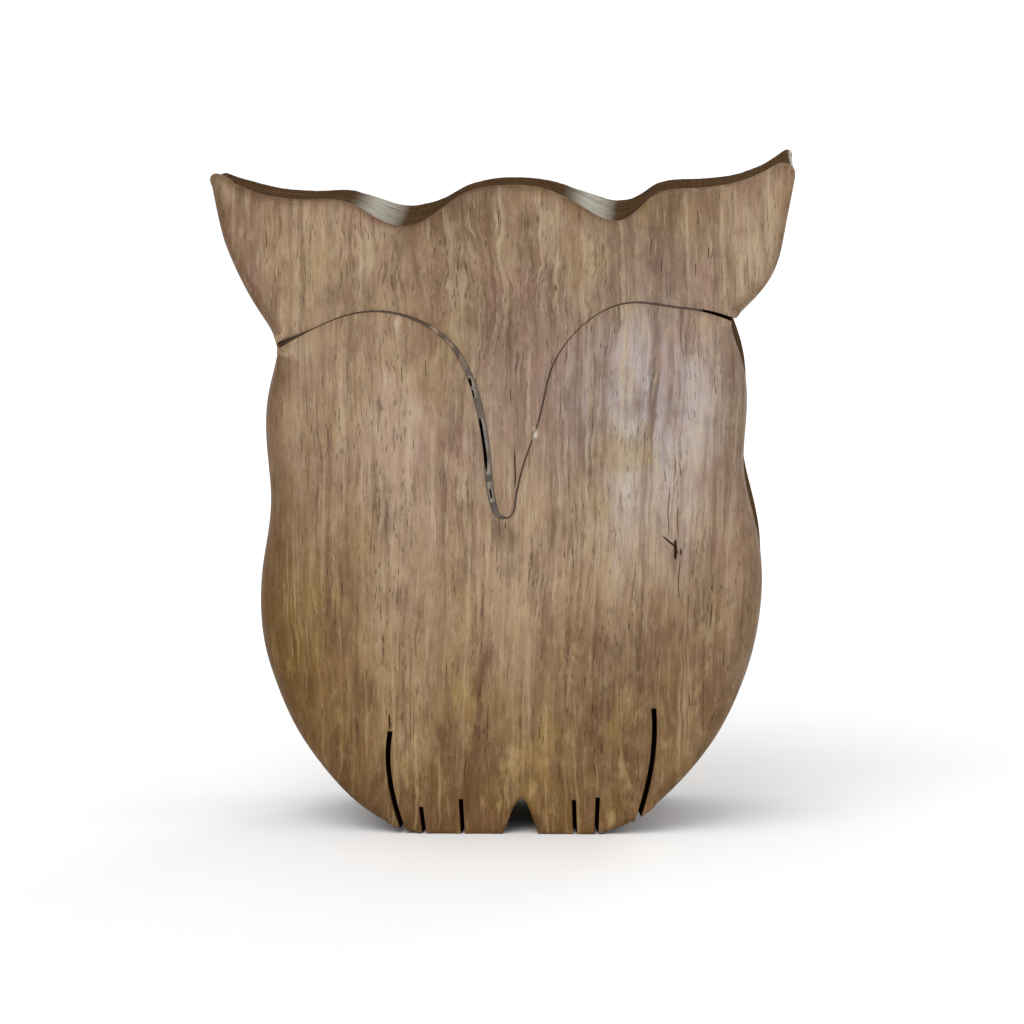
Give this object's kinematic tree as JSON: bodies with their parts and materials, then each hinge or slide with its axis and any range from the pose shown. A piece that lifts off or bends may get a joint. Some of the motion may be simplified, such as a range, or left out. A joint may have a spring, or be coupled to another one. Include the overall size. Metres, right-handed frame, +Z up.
{
  "type": "carved wooden owl figurine",
  "caption": "Thick upright wooden slab sawn to an owl's outline with pointed ears, the brow and beak piece glued in, slits for legs and toes.",
  "frame": {"origin": "on the ground under the middle of the overall box, at the feet's soles", "axes": "+Z up from the feet to the ears, -Y the owl's face, +X the owl's left ear, to the right of someone who looks at the face"},
  "size_m": [0.171, 0.062, 0.1965],
  "materials": {
    "body_wood": "satin varnish",
    "head_wood": "satin varnish",
    "glue": "dark thin glue line",
    "filler": "grey wood filler"
  },
  "bodies": {
    "root": {"body_block": "body_wood", "head_block": "head_wood", "brow_glue_left": "glue", "beak_gap_filler": "filler", "brow_glue_right": "glue"}
  },
  "joints": []
}
